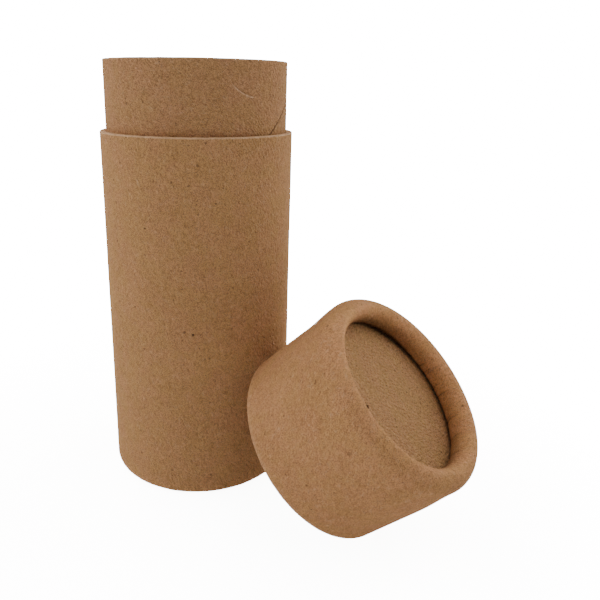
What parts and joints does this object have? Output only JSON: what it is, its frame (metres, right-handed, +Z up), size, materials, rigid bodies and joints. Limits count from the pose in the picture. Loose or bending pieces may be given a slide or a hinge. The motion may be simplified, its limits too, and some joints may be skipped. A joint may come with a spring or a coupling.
{
  "type": "cardboard push-up deodorant tube",
  "caption": "Round kraft-board push-up tube standing open on its curled foot, with a sliding disc inside and its curled cap leaning against it.",
  "frame": {"origin": "centre of the curled foot, on the surface that the tube stands on", "axes": "+Z up along the tube's axis, towards the open neck; the loose cap lies towards +X and -Y"},
  "size_m": [0.0816, 0.0779, 0.098],
  "materials": {
    "body_board": "matt natural kraft paper, finely flecked",
    "neck_board": "matt natural kraft paper, finely flecked",
    "cap_board": "matt natural kraft paper, finely flecked",
    "disc_board": "matt natural kraft board, finely flecked"
  },
  "bodies": {
    "tube": {"outer_tube": "body_board", "inner_tube": "neck_board", "cap_shell": "cap_board", "cap_disc": "disc_board"},
    "push_up": {"push_up_ring": "neck_board", "push_up_disc": "disc_board"}
  },
  "joints": [
    {"name": "push_up_slide", "type": "slide", "parent": "tube", "child": "push_up", "axis": [0, 0, 1], "range_m": [0, 0.0819]}
  ]
}
